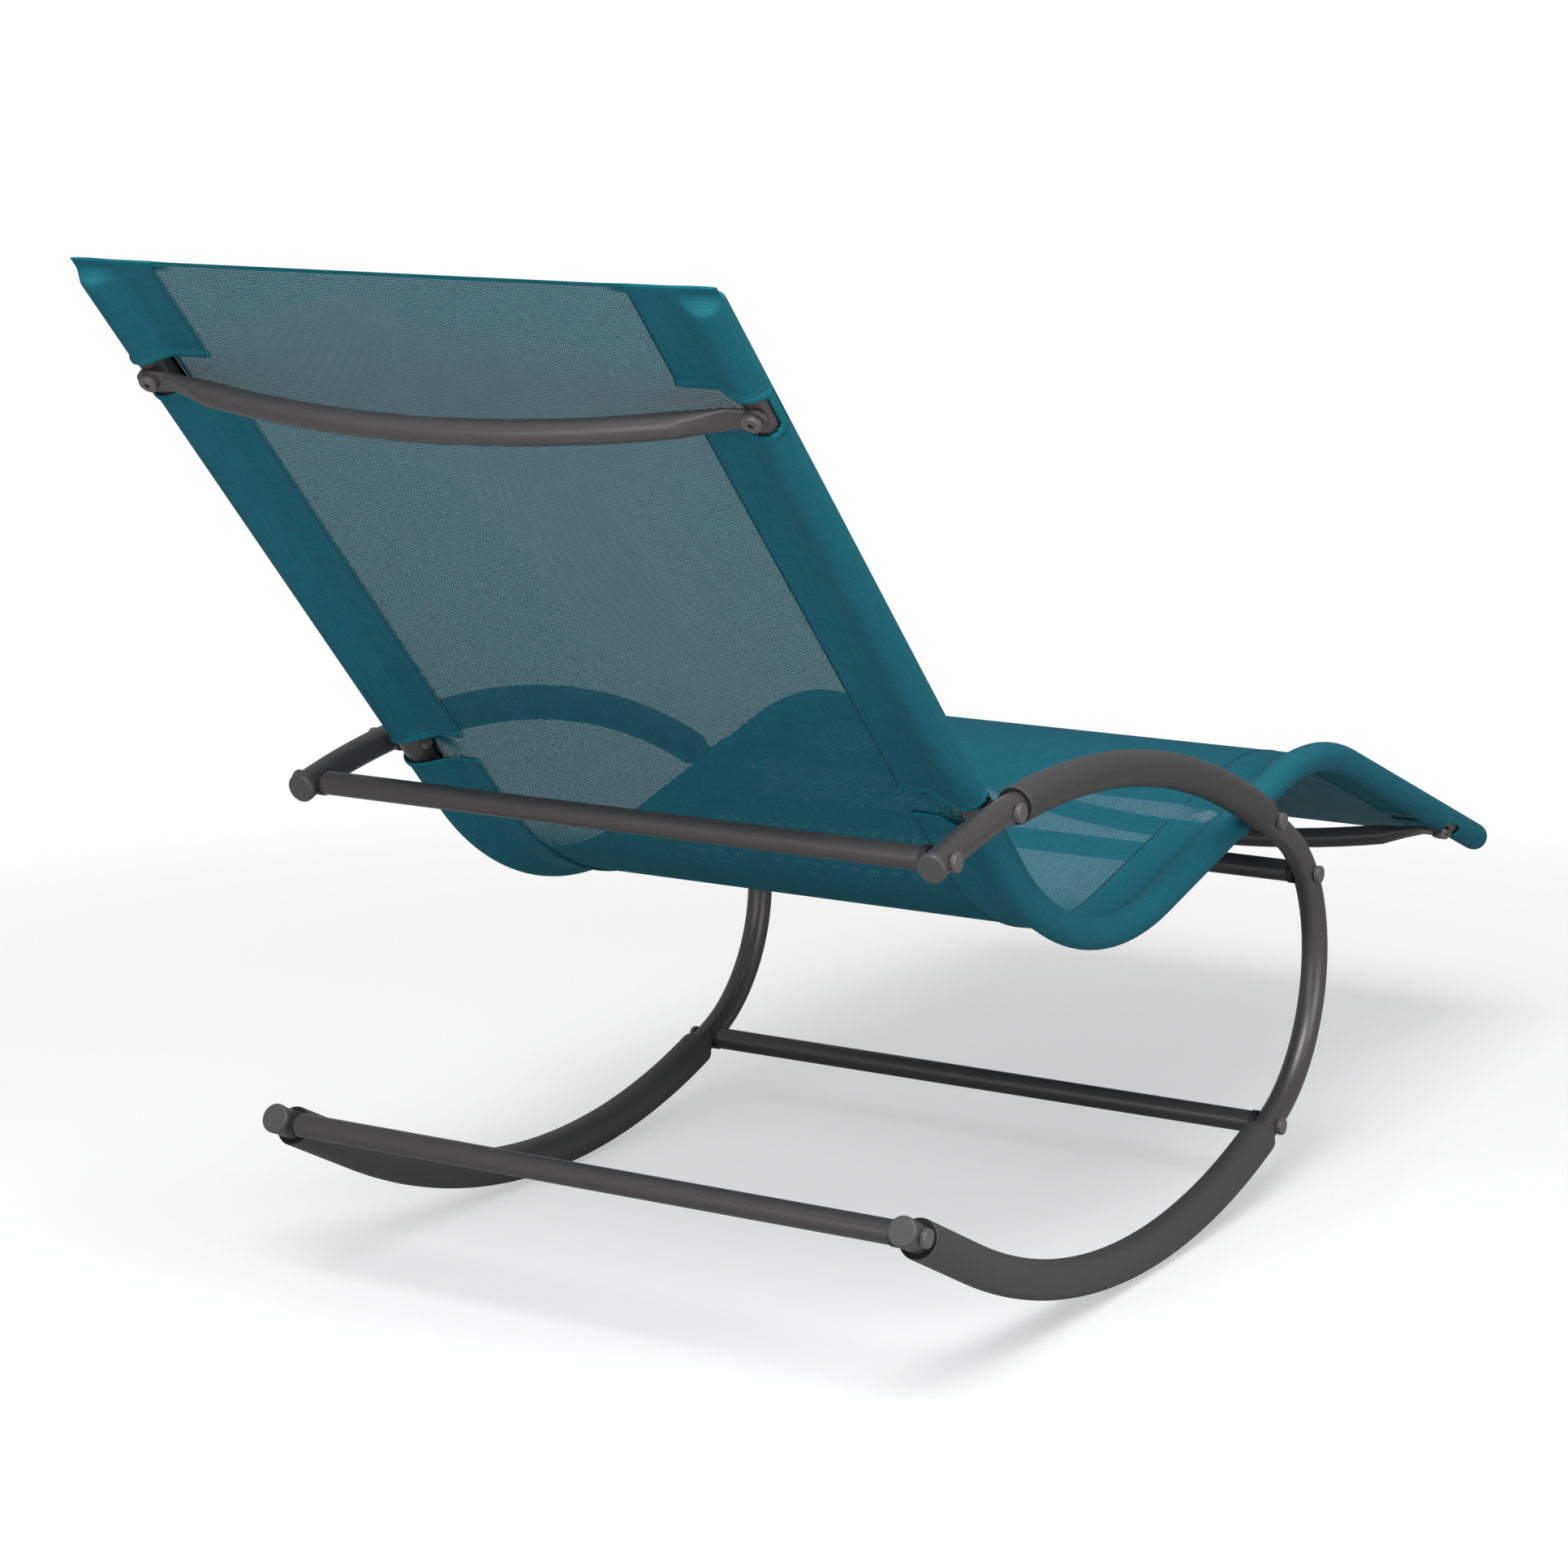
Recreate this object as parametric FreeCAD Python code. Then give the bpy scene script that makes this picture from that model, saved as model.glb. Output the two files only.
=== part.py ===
# Rocking chaise lounge: a one-piece mesh sling on two bent rails, carried between two bent-tube
# side frames that curl from the armrests, round the front, into sleeved rockers.
# Millimetres, +Z up, foot end toward -Y, head end toward +Y, origin on the floor under the middle.
import FreeCAD
import Part
import math
import os

from FreeCAD import Vector

# Tube and bar stock
frame_tube_diameter = 25.0
rail_tube_diameter = 25.0
cross_tube_diameter = 21.0
tube_wall = 1.5
slide_gap = 0.1

# Side frames, seen from the side: lower tail, rocker, front bend, armrest and upper tail
frame_half_width = 313.0
lower_tail_length = 128.0
rocker_radius = 746.0
rocker_rear_angle = 27.0
rocker_front_angle = 21.6
front_bend_radius = 149.0
front_bend_angle = 126.2
armrest_radius = 904.0
armrest_angle = 46.6

# Sleeves over the side frames, placed by distances along the tube
rocker_sleeve_wall = 5.0
rocker_sleeve_past_rear_saddle = 1.5
rocker_sleeve_short_of_front_bar = 20.0
armrest_sleeve_wall = 4.0
sleeve_edge_radius = 1.5
armrest_sleeve_past_rear_bolt = 16.0
armrest_sleeve_short_of_front_bolt = 17.0

# Tail caps
cap_overhang = 0.5
cap_head = 5.0
cap_edge_radius = 2.0
cap_stem = 18.0
cap_stem_clearance = 0.25

# Crossbars: distances along the side tube, and what holds their ends
saddle_to_tail_end = 1.5
upper_front_bar_from_armrest = 59.0
lower_front_bar_from_bend = 13.0
saddle_overhang = 1.0
saddle_floor = 3.0
saddle_wrap_angle = 40.0
bar_end_thickness = 10.0

# Fasteners
bolt_diameter = 6.0
bolt_hole_clearance = 0.6
bolt_head_diameter = 16.5
bolt_head_height = 4.5
bolt_head_edge_radius = 1.2
bolt_socket_across = 5.0
bolt_socket_depth = 2.5
bolt_grip_in_bar = 9.0
rail_spacer_length = 3.6
rail_spacer_wall = 4.7
nut_wall = 2.0
nut_height = 5.0
bolt_past_nut = 1.5

# Seat rails, from the head end down the back, round the seat and over the knee to the foot end
back_angle = 46.9
rear_bolt_from_tail = 126.0
rear_bolt_above_seat_bend = 84.0
back_above_rear_bolt = 606.0
seat_bend_radius = 308.0
thigh_angle = 13.9
thigh_length = 265.0
knee_bend_radius = 298.0
calf_angle = 21.7
calf_length = 381.0

# Rail end plugs
plug_head = 4.0
plug_edge_radius = 3.0
plug_stem = 16.0

# Spreader bars: distances along the rails, and how far their middles stand off
head_spreader_from_head = 105.5
foot_spreader_from_foot = 98.0
spreader_bow = 31.0
spreader_round_to_rail = 65.0
tongue_length = 19.0
tongue_width = 23.0
tongue_thickness = 4.0
spreader_bolt_length = 14.0

# Sling cloth
cloth_thickness = 1.2
cloth_gap = 0.2
hem_width = 64.0
sling_past_head = 22.0
sling_past_foot = 14.0
hem_apex = 3.0
spreader_cutout_margin = 8.5
bolt_cutout_margin = 7.0
cutout_corner_radius = 8.0
cutout_past_seam = 4.0
cutout_depth_from_middle = 2.0
cutout_overrun = 10.0
bolt_cutout_from_rail_middle = 4.0
bolt_cutout_past_spacer = 2.0

frame_radius = frame_tube_diameter / 2
rail_radius = rail_tube_diameter / 2
bar_radius = cross_tube_diameter / 2
rocker_sleeve_radius = frame_radius + rocker_sleeve_wall
armrest_sleeve_radius = frame_radius + armrest_sleeve_wall
cap_radius = frame_radius + cap_overhang
saddle_radius = bar_radius + saddle_overhang
rear_bars_from_tail = saddle_radius + saddle_to_tail_end
rocker_sleeve_from_tail = rear_bars_from_tail + saddle_radius + rocker_sleeve_past_rear_saddle
bolt_hole_radius = (bolt_diameter + bolt_hole_clearance) / 2
thread_bore_radius = bolt_diameter / 2 + slide_gap / 2
rail_spacer_radius = bolt_hole_radius + rail_spacer_wall
nut_half_width = bolt_diameter / 2 + nut_wall
spreader_cutout_length = tongue_width + 2 * spreader_cutout_margin
bolt_cutout_length = 2 * (rail_spacer_radius + bolt_cutout_margin)
rail_half_width = frame_half_width - frame_radius - rail_spacer_length - rail_radius
seam_half_width = rail_half_width - hem_width
cloth_outer_radius = rail_radius + cloth_gap + cloth_thickness


# A path lies in a plane of constant X. Each piece is (start, heading, length, turn): start is
# (y, z), heading is in degrees from +Y toward +Z, and turn is 0 for a straight, or the degrees
# that an arc turns, positive toward +Z.
def arc_length(radius, angle):
    return radius * math.radians(abs(angle))


def move_along(start, heading, length, turn):
    """Point and heading after a piece of a path."""
    h = math.radians(heading)
    if turn == 0:
        return (start[0] + length * math.cos(h), start[1] + length * math.sin(h)), heading
    signed_radius = length / math.radians(turn)
    end = math.radians(heading + turn)
    y = start[0] + signed_radius * (math.sin(end) - math.sin(h))
    z = start[1] - signed_radius * (math.cos(end) - math.cos(h))
    return (y, z), heading + turn


def lay_path(start, heading, pieces):
    """Place a list of (length, turn) end to end."""
    path = []
    for length, turn in pieces:
        path.append((start, heading, length, turn))
        start, heading = move_along(start, heading, length, turn)
    return path


def path_length(path):
    return sum(piece[2] for piece in path)


def cut_path(path, first, last):
    """The stretch of a path between two distances along it."""
    kept = []
    travelled = 0.0
    for start, heading, length, turn in path:
        low = max(first - travelled, 0.0)
        high = min(last - travelled, length)
        if high - low > 1e-6:
            point, direction = move_along(start, heading, low, turn * low / length)
            kept.append((point, direction, high - low, turn * (high - low) / length))
        travelled += length
    return kept


def place_on(path, distance):
    """Point and heading at a distance along a path."""
    travelled = 0.0
    for start, heading, length, turn in path:
        if distance <= travelled + length + 1e-9:
            part = distance - travelled
            return move_along(start, heading, part, turn * part / length)
        travelled += length
    return place_on(path, travelled)


def tangent_of(heading):
    h = math.radians(heading)
    return Vector(0, math.cos(h), math.sin(h))


def underside_of(heading):
    """Unit vector square to the path: the rear of the back and the underside of the seat."""
    h = math.radians(heading)
    return Vector(0, -math.sin(h), math.cos(h))


def sweep(path, face_at):
    """Solid made by carrying face_at(point, heading) along a path."""
    solids = []
    for start, heading, length, turn in path:
        face = face_at(start, heading)
        if turn == 0:
            solids.append(face.extrude(tangent_of(heading) * length))
        else:
            reach = length / math.radians(turn)
            centre = Vector(0, start[0], start[1]) + underside_of(heading) * reach
            solids.append(face.revolve(centre, Vector(1, 0, 0), turn))
    return join(solids)


def join(solids):
    if len(solids) == 1:
        return solids[0]
    return solids[0].multiFuse(solids[1:]).removeSplitter()


def disc_on(x, radius, bore=0.0):
    """Round section of a tube at the offset x; a bore makes it a ring."""
    def face_at(point, heading):
        centre = Vector(x, point[0], point[1])
        direction = tangent_of(heading)
        face = Part.Face(Part.Wire(Part.makeCircle(radius, centre, direction)))
        if bore > 0:
            face = face.cut(Part.Face(Part.Wire(Part.makeCircle(bore, centre, direction))))
        return face.Faces[0]
    return face_at


def x_rod(radius, low_x, high_x, point):
    """Round rod along X through a side-view point."""
    base = Vector(min(low_x, high_x), point[0], point[1])
    return Part.makeCylinder(radius, abs(high_x - low_x), base, Vector(1, 0, 0))


def rounded_disc(radius, height, edge, base, axis):
    """Flat disc with its far edge rounded."""
    disc = Part.makeCylinder(radius, height, base, axis)
    rim = [e for e in disc.Edges if e.Closed and (e.CenterOfMass - base).dot(axis) > height - 0.01]
    return disc.makeFillet(edge, rim)


def mirrored(shape):
    return shape.mirror(Vector(0, 0, 0), Vector(1, 0, 0))


# Side frame path, from the lower rear tail to the upper rear tail, before centring
rocker_centre = (0.0, rocker_sleeve_radius + rocker_radius)
rocker_sweep = rocker_rear_angle + rocker_front_angle
rear_rise = math.radians(rocker_rear_angle)
rocker_rear_end = (rocker_centre[0] + rocker_radius * math.sin(rear_rise),
                   rocker_centre[1] - rocker_radius * math.cos(rear_rise))
lower_tail_end = (rocker_rear_end[0] + lower_tail_length * math.cos(rear_rise),
                  rocker_rear_end[1] + lower_tail_length * math.sin(rear_rise))
frame_pieces = [(lower_tail_length, 0),
                (arc_length(rocker_radius, rocker_sweep), -rocker_sweep),
                (arc_length(front_bend_radius, front_bend_angle), -front_bend_angle),
                (arc_length(armrest_radius, armrest_angle), -armrest_angle)]
uncentred_frame = lay_path(lower_tail_end, 180 + rocker_rear_angle, frame_pieces)

# Seat rail path, from the head end to the foot end: it meets the side frame at the rear bolt
frame_length = path_length(uncentred_frame)
rear_bolt_distance = frame_length - rear_bolt_from_tail
rear_bolt_point, _ = place_on(uncentred_frame, rear_bolt_distance)
back_length = back_above_rear_bolt + rear_bolt_above_seat_bend
back_slope = math.radians(back_angle)
rail_head_end = (rear_bolt_point[0] + back_above_rear_bolt * math.cos(back_slope),
                 rear_bolt_point[1] + back_above_rear_bolt * math.sin(back_slope))
seat_turn = back_angle + thigh_angle
knee_turn = thigh_angle + calf_angle
rail_pieces = [(back_length, 0),
               (arc_length(seat_bend_radius, seat_turn), -seat_turn),
               (thigh_length, 0),
               (arc_length(knee_bend_radius, knee_turn), knee_turn),
               (calf_length, 0)]
uncentred_rail = lay_path(rail_head_end, 180 + back_angle, rail_pieces)

# The origin is under the middle of the length, which runs from sling end to sling end
rail_foot_end, _ = place_on(uncentred_rail, path_length(uncentred_rail))
head_reach = (rail_head_end[0] + sling_past_head * math.cos(back_slope)
              + cloth_outer_radius * math.sin(back_slope))
foot_slope = math.radians(calf_angle)
foot_reach = (rail_foot_end[0] - sling_past_foot * math.cos(foot_slope)
              - cloth_outer_radius * math.sin(foot_slope))
middle_y = (head_reach + foot_reach) / 2


def centred(path):
    return [((s[0] - middle_y, s[1]), heading, length, turn) for s, heading, length, turn in path]


frame_path = centred(uncentred_frame)
rail_path = centred(uncentred_rail)
rail_length = path_length(rail_path)

# Distances of the crossbars and bolts along the side frame path
tail_and_rocker = lower_tail_length + frame_pieces[1][0]
lower_rear_bar = rear_bars_from_tail
lower_front_bar = tail_and_rocker - lower_front_bar_from_bend
upper_front_bar = tail_and_rocker + frame_pieces[2][0] - upper_front_bar_from_armrest
upper_rear_bar = frame_length - rear_bars_from_tail
crossbar_distances = {"crossbar_upper_rear": upper_rear_bar,
                      "crossbar_lower_rear": lower_rear_bar,
                      "crossbar_upper_front": upper_front_bar,
                      "crossbar_lower_front": lower_front_bar}


def crossing_on_thigh():
    """Where the rail's thigh stretch crosses the armrest arc: point and both distances."""
    start, heading, length, _ = rail_path[2]
    arm_start, arm_heading, arm_length, arm_turn = frame_path[3]
    arm_centre = (arm_start[0] + armrest_radius * math.sin(math.radians(arm_heading)),
                  arm_start[1] - armrest_radius * math.cos(math.radians(arm_heading)))
    step = (math.cos(math.radians(heading)), math.sin(math.radians(heading)))
    offset = (start[0] - arm_centre[0], start[1] - arm_centre[1])
    along = offset[0] * step[0] + offset[1] * step[1]
    squared = along ** 2 - offset[0] ** 2 - offset[1] ** 2 + armrest_radius ** 2
    travel = -along + math.sqrt(squared)
    point = (start[0] + travel * step[0], start[1] + travel * step[1])
    back_step = math.atan2(point[1] - arm_centre[1], point[0] - arm_centre[0])
    start_step = math.atan2(arm_start[1] - arm_centre[1], arm_start[0] - arm_centre[0])
    on_arc = armrest_radius * (start_step - back_step)
    on_frame = frame_length - arm_length + on_arc
    on_rail = rail_path[0][2] + rail_path[1][2] + travel
    return point, on_frame, on_rail


rear_bolt, _ = place_on(frame_path, rear_bolt_distance)
front_bolt, front_bolt_distance, front_bolt_on_rail = crossing_on_thigh()
rear_bolt_on_rail = back_above_rear_bolt
rail_bolt_points = [rear_bolt, front_bolt]
head_spreader_on_rail = head_spreader_from_head
foot_spreader_on_rail = rail_length - foot_spreader_from_foot


def side_frame():
    """Left side frame: one bent tube, drilled through for its six bolts."""
    tube = sweep(frame_path, disc_on(frame_half_width, frame_radius, frame_radius - tube_wall))
    points = [place_on(frame_path, d)[0] for d in crossbar_distances.values()] + rail_bolt_points
    low_x = frame_half_width - frame_tube_diameter
    high_x = frame_half_width + frame_tube_diameter
    for point in points:
        tube = tube.cut(x_rod(bolt_hole_radius, low_x, high_x, point))
    return tube


def tube_plug(x, point, outward, head_radius, head, edge, stem_radius, stem):
    """Push-in plug: a rounded head on a stem that fills the end of a tube."""
    centre = Vector(x, point[0], point[1])
    cap = rounded_disc(head_radius, head, edge, centre, outward)
    return cap.fuse(Part.makeCylinder(stem_radius, stem, centre, outward * -1)).removeSplitter()


def tail_cap(distance, direction):
    """Cap in a tail of the left side frame, with its stem cleared for the crossbar bolt."""
    point, heading = place_on(frame_path, distance)
    stem_radius = frame_radius - tube_wall - cap_stem_clearance
    cap = tube_plug(frame_half_width, point, tangent_of(heading) * direction, cap_radius,
                    cap_head, cap_edge_radius, stem_radius, cap_stem)
    bar = min(crossbar_distances.values(), key=lambda d: abs(d - distance))
    low_x = frame_half_width - frame_radius
    high_x = frame_half_width + frame_radius
    return cap.cut(x_rod(bolt_hole_radius, low_x, high_x, place_on(frame_path, bar)[0]))


def sleeve(first, last, outer_radius):
    """Foam or rubber sleeve over a stretch of the left side frame, with rounded rims."""
    inner_radius = frame_radius + slide_gap
    rim = 2 * sleeve_edge_radius
    pieces = [sweep(cut_path(frame_path, first + rim, last - rim),
                    disc_on(frame_half_width, outer_radius, inner_radius))]
    for distance, direction in ((first + rim, -1), (last - rim, 1)):
        point, heading = place_on(frame_path, distance)
        centre = Vector(frame_half_width, point[0], point[1])
        outward = tangent_of(heading) * direction
        disc = rounded_disc(outer_radius, rim, sleeve_edge_radius, centre, outward)
        pieces.append(disc.cut(Part.makeCylinder(inner_radius, rim, centre, outward)))
    return join(pieces)


def saddle(distance):
    """Cup on the crossbar's end, hollowed to sit on the side tube."""
    point, _ = place_on(frame_path, distance)
    inner_x = frame_half_width - frame_radius - saddle_floor
    outer_x = frame_half_width - frame_radius * math.cos(math.radians(saddle_wrap_angle))
    cup = x_rod(saddle_radius, inner_x, outer_x, point)
    around = cut_path(frame_path, distance - 2 * saddle_radius, distance + 2 * saddle_radius)
    tube = sweep(around, disc_on(frame_half_width, frame_radius + slide_gap / 2))
    return cup.cut(tube).cut(x_rod(bolt_hole_radius, inner_x, outer_x, point))


def crossbar(distance):
    """Straight tube with a closed, threaded end at each side frame."""
    point, _ = place_on(frame_path, distance)
    half = frame_half_width - frame_radius - saddle_floor - slide_gap
    bar = x_rod(bar_radius, -half, half, point)
    inside = half - bar_end_thickness
    bar = bar.cut(x_rod(bar_radius - tube_wall, -inside, inside, point))
    for side in (-1, 1):
        bar = bar.cut(x_rod(thread_bore_radius, side * half, side * inside, point))
    return bar


def hex_prism(base, axis, half_width, height):
    """Hexagonal prism, half_width from its axis to each flat."""
    corner_radius = half_width / math.cos(math.radians(30))
    turn = FreeCAD.Rotation(Vector(1, 0, 0), axis)
    corners = [base + turn.multVec(Vector(0, corner_radius * math.cos(math.radians(a)),
                                          corner_radius * math.sin(math.radians(a))))
               for a in range(0, 361, 60)]
    return Part.Face(Part.makePolygon(corners)).extrude(axis * height)


def bolt(seat, axis, shank_length):
    """Plain round-headed bolt: the head stands on seat, the shank goes back."""
    head = rounded_disc(bolt_head_diameter / 2, bolt_head_height, bolt_head_edge_radius, seat, axis)
    shank = Part.makeCylinder(bolt_diameter / 2, shank_length, seat, axis * -1)
    return head.fuse(shank).removeSplitter()


def socket_bolt(seat, axis, shank_length):
    """The same bolt with a hexagonal socket in its head."""
    floor = seat + axis * (bolt_head_height - bolt_socket_depth)
    socket = hex_prism(floor, axis, bolt_socket_across / 2, bolt_socket_depth)
    return bolt(seat, axis, shank_length).cut(socket)


def side_bolt(point, inner_x):
    """Bolt through the left side frame, with its head outside and its tip at inner_x."""
    seat = Vector(frame_half_width + frame_radius, point[0], point[1])
    return bolt(seat, Vector(1, 0, 0), seat.x - inner_x)


def both_sides(solids):
    return Part.makeCompound(solids + [mirrored(s) for s in solids])


def crossbar_bolts():
    inner_x = frame_half_width - frame_radius - saddle_floor - bolt_grip_in_bar
    return both_sides([side_bolt(place_on(frame_path, d)[0], inner_x)
                       for d in crossbar_distances.values()])


def rail_bolts():
    inner_x = rail_half_width - rail_radius - nut_height - bolt_past_nut
    return both_sides([side_bolt(point, inner_x) for point in rail_bolt_points])


def rail_spacers():
    spacers = []
    for point in rail_bolt_points:
        inner_x = rail_half_width + rail_radius + slide_gap / 2
        outer_x = frame_half_width - frame_radius - slide_gap / 2
        ring = x_rod(rail_spacer_radius, inner_x, outer_x, point)
        spacers.append(ring.cut(x_rod(bolt_hole_radius, inner_x, outer_x, point)))
    return both_sides(spacers)


def rail_nuts():
    nuts = []
    for point in rail_bolt_points:
        outer_x = rail_half_width - rail_radius - slide_gap / 2
        inner_x = outer_x - nut_height
        base = Vector(inner_x, point[0], point[1])
        nut = hex_prism(base, Vector(1, 0, 0), nut_half_width, nut_height)
        nuts.append(nut.cut(x_rod(thread_bore_radius, inner_x, outer_x, point)))
    return both_sides(nuts)


def spreader_seat(on_rail):
    """Point, tangent and underside direction of a rail where a spreader's tongue is bolted."""
    point, heading = place_on(rail_path, on_rail)
    return point, tangent_of(heading), underside_of(heading)


def seat_rail():
    """Left seat rail: one bent tube, with cross holes for the rail and spreader bolts."""
    tube = sweep(rail_path, disc_on(rail_half_width, rail_radius, rail_radius - tube_wall))
    low_x = rail_half_width - rail_tube_diameter
    high_x = rail_half_width + rail_tube_diameter
    for point in rail_bolt_points:
        tube = tube.cut(x_rod(bolt_hole_radius, low_x, high_x, point))
    for on_rail in (head_spreader_on_rail, foot_spreader_on_rail):
        point, _, under = spreader_seat(on_rail)
        centre = Vector(rail_half_width, point[0], point[1])
        hole = Part.makeCylinder(thread_bore_radius, rail_tube_diameter, centre, under)
        tube = tube.cut(hole)
    return tube


def rail_plug(on_rail, direction):
    point, heading = place_on(rail_path, on_rail)
    return tube_plug(rail_half_width, point, tangent_of(heading) * direction, rail_radius,
                     plug_head, plug_edge_radius, rail_radius - tube_wall, plug_stem)


def flat_outline(centre, along, under, width, thickness):
    """Round-sided flat section of the bar's pressed end, in the plane square to X."""
    straight = (width - thickness) / 2
    r = thickness / 2

    def at(a, n):
        return centre + along * a + under * n

    return Part.Wire([Part.makeLine(at(-straight, -r), at(straight, -r)),
                      Part.Arc(at(straight, -r), at(straight + r, 0), at(straight, r)).toShape(),
                      Part.makeLine(at(straight, r), at(-straight, r)),
                      Part.Arc(at(-straight, r), at(-straight - r, 0), at(-straight, -r)).toShape()])


def round_outline(centre, along, under, radius):
    """Round section drawn as four arcs, so that it blends into the flat one side by side."""
    def at(degrees):
        a = math.radians(degrees)
        return centre + along * (radius * math.cos(a)) + under * (radius * math.sin(a))

    return Part.Wire([Part.Arc(at(d), at(d + 45), at(d + 90)).toShape()
                      for d in (225, 315, 45, 135)])


def spreader(on_rail):
    """Bowed round bar, pressed flat at both ends into round-ended tongues under the rails."""
    point, along, under = spreader_seat(on_rail)
    seat = Vector(0, point[0], point[1]) + under * (rail_radius + slide_gap / 2)
    flat_middle = seat + under * (tongue_thickness / 2)
    side = Vector(1, 0, 0)
    tongue_x = rail_half_width - tongue_length
    round_x = rail_half_width - spreader_round_to_rail
    arc_radius = (tongue_x ** 2 + spreader_bow ** 2) / (2 * spreader_bow)
    arc_centre = flat_middle + under * (spreader_bow - arc_radius)
    lean = math.asin(round_x / arc_radius)

    def on_arc(angle):
        across = side * (arc_radius * math.sin(angle))
        return arc_centre + across + under * (arc_radius * math.cos(angle))

    spine = Part.Wire(Part.Arc(on_arc(-lean), on_arc(0), on_arc(lean)).toShape())
    start = side * math.cos(lean) + under * math.sin(lean)
    ring = Part.Wire(Part.makeCircle(bar_radius, on_arc(-lean), start))
    bore = Part.Wire(Part.makeCircle(bar_radius - tube_wall, on_arc(-lean), start))
    bar = spine.makePipeShell([ring], True, True).cut(spine.makePipeShell([bore], True, True))
    pieces = [bar]
    holes = []
    for s in (-1, 1):
        outward = side * s
        square = under * math.cos(lean) + outward * math.sin(lean)
        round_end = round_outline(on_arc(s * lean), along, square, bar_radius)
        tongue_start = flat_middle + outward * tongue_x
        flat_end = flat_outline(tongue_start, along, under, tongue_width, tongue_thickness)
        pieces.append(Part.makeLoft([round_end, flat_end], True, True))
        tip = flat_middle + outward * rail_half_width
        flat = Part.Face(flat_end).extrude(tip - tongue_start)
        tip_disc = Part.makeCylinder(tongue_width / 2, tongue_thickness,
                                     tip - under * (tongue_thickness / 2), under)
        pieces += [flat, tip_disc]
        holes.append(Part.makeCylinder(bolt_hole_radius, 2 * tongue_thickness,
                                       tip - under * tongue_thickness, under))
    return join(pieces).cut(Part.makeCompound(holes)).Solids[0]


def spreader_bolts():
    bolts = []
    for on_rail in (head_spreader_on_rail, foot_spreader_on_rail):
        point, _, under = spreader_seat(on_rail)
        seat = Vector(rail_half_width, point[0], point[1])
        seat = seat + under * (rail_radius + tongue_thickness + slide_gap)
        bolts.append(socket_bolt(seat, under, spreader_bolt_length))
    return both_sides(bolts)


def hem_outline(point, heading, radius, apex_x, apex_half):
    """Teardrop round the rail: a straight layer on each side, from the seam to a half circle."""
    under = underside_of(heading)
    centre = Vector(rail_half_width, point[0], point[1])
    reach = rail_half_width - apex_x
    lean = math.atan2(apex_half, -reach) - math.acos(radius / math.hypot(reach, apex_half))

    def at(x, n):
        return Vector(x, point[0], point[1]) + under * n

    tx = rail_half_width + radius * math.cos(lean)
    tn = radius * math.sin(lean)
    edges = [Part.makeLine(at(apex_x, apex_half), at(tx, tn)),
             Part.Arc(at(tx, tn), centre + Vector(radius, 0, 0), at(tx, -tn)).toShape(),
             Part.makeLine(at(tx, -tn), at(apex_x, -apex_half))]
    if apex_half > 0:
        edges.append(Part.makeLine(at(apex_x, -apex_half), at(apex_x, apex_half)))
    return Part.Face(Part.Wire(edges))


def hem_face(point, heading):
    outer = hem_outline(point, heading, cloth_outer_radius, seam_half_width, cloth_thickness)
    inner = hem_outline(point, heading, rail_radius + cloth_gap, seam_half_width + hem_apex, 0)
    return outer.cut(inner).Faces[0]


def panel_face(point, heading):
    half = seam_half_width + hem_apex / 2
    under = underside_of(heading)
    middle = Vector(0, point[0], point[1])
    corners = [middle + Vector(x, 0, 0) + under * n
               for x, n in ((-half, -cloth_thickness / 2), (half, -cloth_thickness / 2),
                            (half, cloth_thickness / 2), (-half, cloth_thickness / 2))]
    return Part.Face(Part.makePolygon(corners + [corners[0]]))


def cutout(on_rail, length, low_x, high_x, low_n, high_n):
    """Rounded block that opens the left hem at a distance along the rail."""
    point, heading = place_on(rail_path, on_rail)
    along = tangent_of(heading)
    under = underside_of(heading)
    corner = Vector(low_x, point[0], point[1]) - along * (length / 2) + under * low_n
    corners = [corner, corner + Vector(high_x - low_x, 0, 0)]
    corners += [corners[1] + along * length, corners[0] + along * length]
    block = Part.Face(Part.makePolygon(corners + [corners[0]])).extrude(under * (high_n - low_n))
    upright = [e for e in block.Edges if abs(e.tangentAt(e.FirstParameter).dot(under)) > 0.99]
    return block.makeFillet(cutout_corner_radius, upright)


def sling_path():
    """The rail path, run on past both rail ends."""
    start, heading, length, turn = rail_path[0]
    back = move_along(start, heading, -sling_past_head, 0)[0]
    path = [(back, heading, length + sling_past_head, turn)] + rail_path[1:-1]
    start, heading, length, turn = rail_path[-1]
    return path + [(start, heading, length + sling_past_foot, turn)]


def sling():
    """One cloth: a flat panel between the seams, and a doubled hem round each rail."""
    path = sling_path()
    hem = sweep(path, hem_face)
    inner_x = seam_half_width + cutout_past_seam
    side_x = rail_half_width + bolt_cutout_from_rail_middle
    outer_x = rail_half_width + cloth_outer_radius + cutout_overrun
    low_n = cutout_depth_from_middle
    side_n = -rail_spacer_radius - bolt_cutout_past_spacer
    high_n = cloth_outer_radius + cutout_overrun
    for on_rail in (head_spreader_on_rail, foot_spreader_on_rail):
        hem = hem.cut(cutout(on_rail, spreader_cutout_length, inner_x, outer_x, low_n, high_n))
    for on_rail in (rear_bolt_on_rail, front_bolt_on_rail):
        hem = hem.cut(cutout(on_rail, bolt_cutout_length, inner_x, outer_x, low_n, high_n))
        hem = hem.cut(cutout(on_rail, bolt_cutout_length, side_x, outer_x, side_n, high_n))
    panel = sweep(path, panel_face)
    return panel.multiFuse([hem, mirrored(hem)]).removeSplitter()


def write_step(name, shape):
    shape.exportStep("parts/" + name + ".step")


def write_pair(name, shape):
    write_step(name + "_left", shape)
    write_step(name + "_right", mirrored(shape))


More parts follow.
